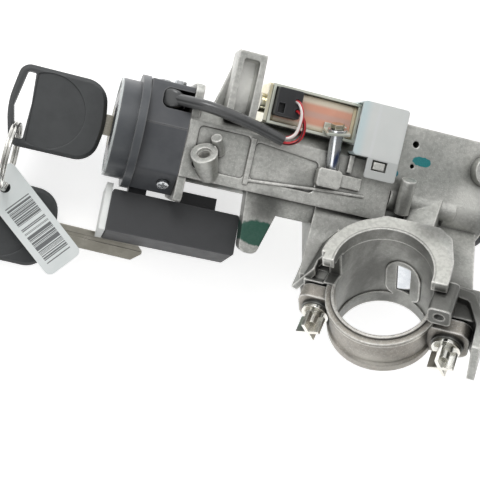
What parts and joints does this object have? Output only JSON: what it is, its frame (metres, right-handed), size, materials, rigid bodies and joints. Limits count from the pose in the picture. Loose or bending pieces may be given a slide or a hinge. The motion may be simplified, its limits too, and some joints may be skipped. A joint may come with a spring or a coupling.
{
  "type": "ignition switch",
  "caption": "Ignition switch with steering lock: clamp housing, key cylinder with antenna ring, key interlock solenoid under a clear cap, receiver box and keys.",
  "frame": {"origin": "centre of the steering column clamp, on the column's axis", "axes": "+X along the key barrel from the key to the electrical switch, +Y from the clamp up to the barrel, +Z out of the flat front of the housing"},
  "size_m": [0.2502, 0.1194, 0.1008],
  "materials": {
    "cast_housing": "die cast, satin",
    "clamp_casting": "die cast, satin",
    "zinc_bolt": "bright zinc",
    "dark_steel": "phosphated",
    "bright_steel": "turned",
    "yellow_zinc": "yellow zinc",
    "spring_steel": "spring wire",
    "cylinder_metal": "machined",
    "wafer_brass": "stamped",
    "black_cover": "fine grain",
    "face_black": "smooth",
    "ring_black": "fine grain",
    "light_guide": "clear light guide",
    "copper_winding": "enamelled wire",
    "coil_wrap": "taped winding",
    "bobbin_plastic": "moulded",
    "bracket_metal": "zinc plated sheet",
    "box_black": "fine grain",
    "end_grey": "satin",
    "board_green": "solder mask",
    "sheath_black": "soft sleeve",
    "wire_red_white": "red with a white stripe",
    "wire_red_black": "red with a black stripe",
    "connector_black": "moulded",
    "clear_cap": "translucent moulding",
    "lever_plastic": "moulded",
    "switch_black": "moulded",
    "terminal_brass": "stamped",
    "key_rubber": "fine grain",
    "key_steel": "nickel plated",
    "ring_nickel": "nickel plated wire",
    "tag_white": "printed card"
  },
  "bodies": {
    "base": {"lock_housing": "cast_housing", "clamp_cap": "clamp_casting", "shear_bolt_left": "zinc_bolt", "shear_bolt_right": "zinc_bolt", "bolt_washers": "dark_steel", "cylinder_sleeve": "cylinder_metal", "retaining_pin": "dark_steel", "lock_face": "face_black", "antenna_ring": "ring_black", "antenna_coil": "copper_winding", "light_ring": "light_guide", "upper_cover": "black_cover", "lower_cover": "black_cover", "cover_screws": "bright_steel", "receiver_box": "box_black", "receiver_end_cover": "end_grey", "amplifier_board": "board_green", "lead_sheath": "sheath_black", "wire_pale": "wire_red_white", "wire_dark": "wire_red_black", "solenoid_bracket": "bracket_metal", "solenoid_end_plate": "bracket_metal", "solenoid_bobbin": "bobbin_plastic", "solenoid_coil": "coil_wrap", "solenoid_core": "yellow_zinc", "plunger_spring": "spring_steel", "coil_connector": "connector_black", "mounting_post": "bright_steel", "post_washer": "bright_steel", "post_screw": "yellow_zinc", "interlock_cap": "clear_cap", "lever_pin": "bright_steel", "chamber_cover": "dark_steel", "bolt_spring": "spring_steel", "switch_body": "switch_black", "switch_terminals": "terminal_brass", "switch_screws": "dark_steel"},
    "plug": {"cylinder_plug": "cylinder_metal", "tumbler_wafers": "wafer_brass", "cam_shaft": "dark_steel", "switch_rotor": "lever_plastic"},
    "key": {"key_head": "key_rubber", "key_blade": "key_steel", "key_ring": "ring_nickel", "key_tag": "tag_white", "spare_key_head": "key_rubber", "spare_key_blade": "key_steel"},
    "bolt": {"lock_bolt": "bright_steel"},
    "plunger": {"plunger": "bright_steel"},
    "lever": {"interlock_lever": "lever_plastic"}
  },
  "joints": [
    {"name": "plug_turn", "type": "hinge", "parent": "base", "child": "plug", "pos_m": [0, 0.0465, -0.042], "axis": [1, 0, 0], "range_deg": [0, 110]},
    {"name": "key_pull", "type": "slide", "parent": "plug", "child": "key", "axis": [-1, 0, 0], "range_m": [0, 0.045]},
    {"name": "lock_bolt_slide", "type": "slide", "parent": "base", "child": "bolt", "axis": [-0.3214, -0.766, 0.5567], "range_m": [0, 0.006]},
    {"name": "plunger_slide", "type": "slide", "parent": "base", "child": "plunger", "axis": [-1, 0, 0], "range_m": [0, 0.003], "stiffness_N_per_m": 150},
    {"name": "lever_turn", "type": "hinge", "parent": "base", "child": "lever", "pos_m": [-0.0114, 0.0594, -0.037], "axis": [0, 0, 1], "range_deg": [0, 14.86]}
  ],
  "couplings": [
    {"joint": "lever_turn", "follows": "plunger_slide", "rad_per_m": 86.449}
  ]
}
